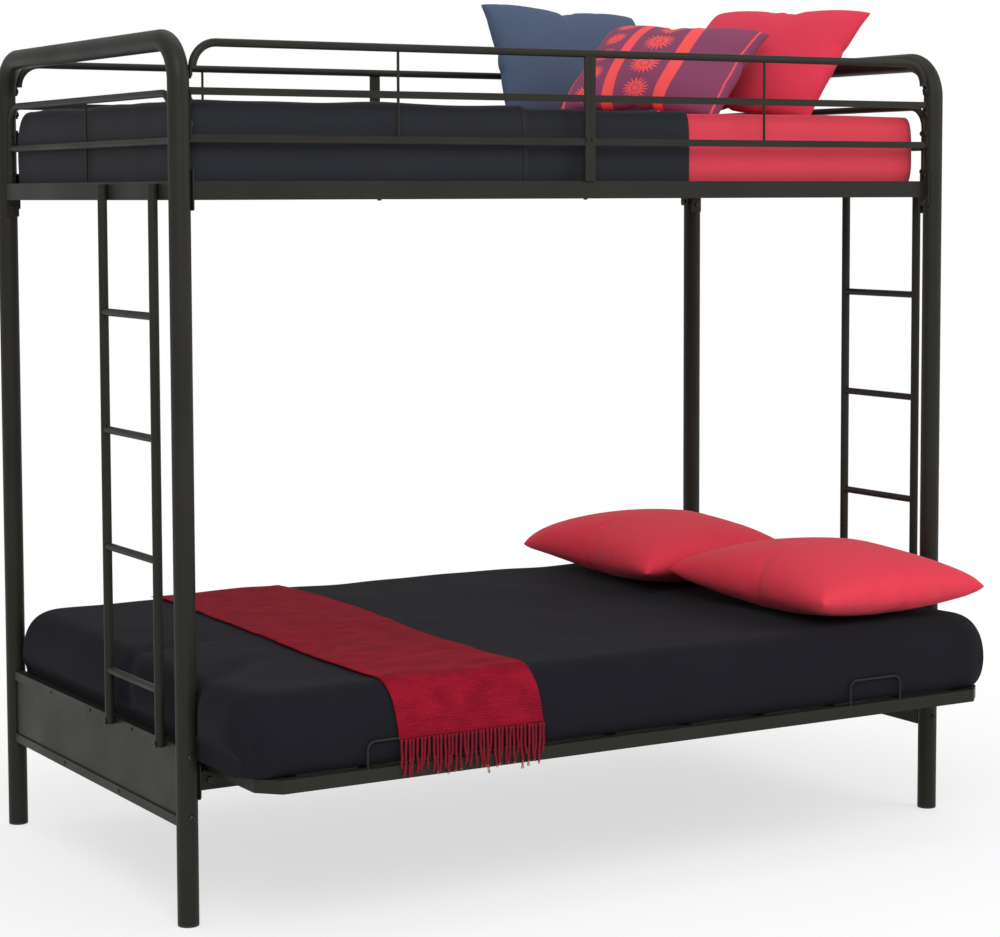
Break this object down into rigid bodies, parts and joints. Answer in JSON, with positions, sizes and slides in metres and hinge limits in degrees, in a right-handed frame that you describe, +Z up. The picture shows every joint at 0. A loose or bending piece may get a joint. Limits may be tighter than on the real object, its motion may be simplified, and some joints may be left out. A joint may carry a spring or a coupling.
{
  "type": "bunk bed",
  "caption": "Twin metal bunk over a full-width convertible futon with end ladders, guard rails, mattresses, pillows and a fringed throw.",
  "frame": {"origin": "the floor under the middle of the whole bed, with the futon drawn out as a bed", "axes": "+X along the bed to its right end, +Y from the open front to the wall side, +Z up"},
  "size_m": [2.008, 1.288, 1.9578],
  "materials": {
    "frame_steel": "dark bronze-black powder coat, semi-gloss, fine texture",
    "bolt_steel": "black-oxide button heads, satin",
    "nylon": "black moulded nylon",
    "navy_fabric": "navy polyester and cotton mattress cloth",
    "coverlet_navy": "navy brushed cotton cover",
    "mattress_red": "crimson-pink cotton sheet",
    "pillow_red": "crimson cotton pillow case",
    "pillow_blue": "slate blue cotton pillow case",
    "pillow_print": "plum cotton with orange-red stripes and rosettes",
    "throw_chenille": "crimson chenille with twisted fringe"
  },
  "bodies": {
    "bunk_frame": {"front_left_post": "frame_steel", "front_right_post": "frame_steel", "rear_left_post": "frame_steel", "rear_right_post": "frame_steel", "front_left_guard": "frame_steel", "front_right_guard": "frame_steel", "rear_left_guard": "frame_steel", "rear_right_guard": "frame_steel", "left_end_hoop": "frame_steel", "left_end_guard": "frame_steel", "left_end_rail": "frame_steel", "left_ladder": "frame_steel", "left_end_panel": "frame_steel", "left_guide_channel": "frame_steel", "right_end_hoop": "frame_steel", "right_end_guard": "frame_steel", "right_end_rail": "frame_steel", "right_ladder": "frame_steel", "right_end_panel": "frame_steel", "right_guide_channel": "frame_steel", "front_side_rail": "frame_steel", "front_stretcher": "frame_steel", "rear_side_rail": "frame_steel", "rear_stretcher": "frame_steel", "guard_splice_plates": "frame_steel", "stretcher_brackets": "frame_steel", "glide_pads": "nylon", "bunk_slats": "frame_steel", "foot_caps": "nylon", "rail_bolts": "bolt_steel", "guard_bolts": "bolt_steel", "panel_bolts": "bolt_steel", "stretcher_bolts": "bolt_steel", "ladder_bolts": "bolt_steel", "channel_rivets": "frame_steel", "slat_screws": "bolt_steel", "bunk_mattress": "mattress_red", "inner_coverlet": "coverlet_navy", "outer_coverlet": "coverlet_navy", "blue_pillow": "pillow_blue", "patterned_pillow": "pillow_print", "red_pillow": "pillow_red"},
    "seat": {"seat_frame": "frame_steel", "seat_slats": "frame_steel", "seat_hinge_plates": "frame_steel", "hinge_pins": "bolt_steel", "roller_axles": "bolt_steel", "rollers": "nylon", "mattress_retainers": "frame_steel", "futon_mattress_seat": "navy_fabric", "futon_mattress_fold": "navy_fabric", "throw_front": "throw_chenille", "throw_middle": "throw_chenille", "seat_pillow": "pillow_red"},
    "back": {"back_frame": "frame_steel", "back_slats": "frame_steel", "back_hinge_plates": "frame_steel", "futon_mattress_back": "navy_fabric", "throw_rear": "throw_chenille", "back_pillow": "pillow_red"}
  },
  "joints": [
    {"name": "seat_slide", "type": "slide", "parent": "bunk_frame", "child": "seat", "axis": [0, 1, 0], "range_m": [0, 0.25]},
    {"name": "back_fold", "type": "hinge", "parent": "seat", "child": "back", "pos_m": [0, -0.02331, 0.328], "axis": [1, 0, 0], "range_deg": [0, 75], "deforming": ["futon_mattress_fold", "throw_middle", "seat_pillow", "back_pillow"]}
  ],
  "couplings": [
    {"joint": "back_fold", "follows": "seat_slide", "rad_per_m": 5.235}
  ]
}
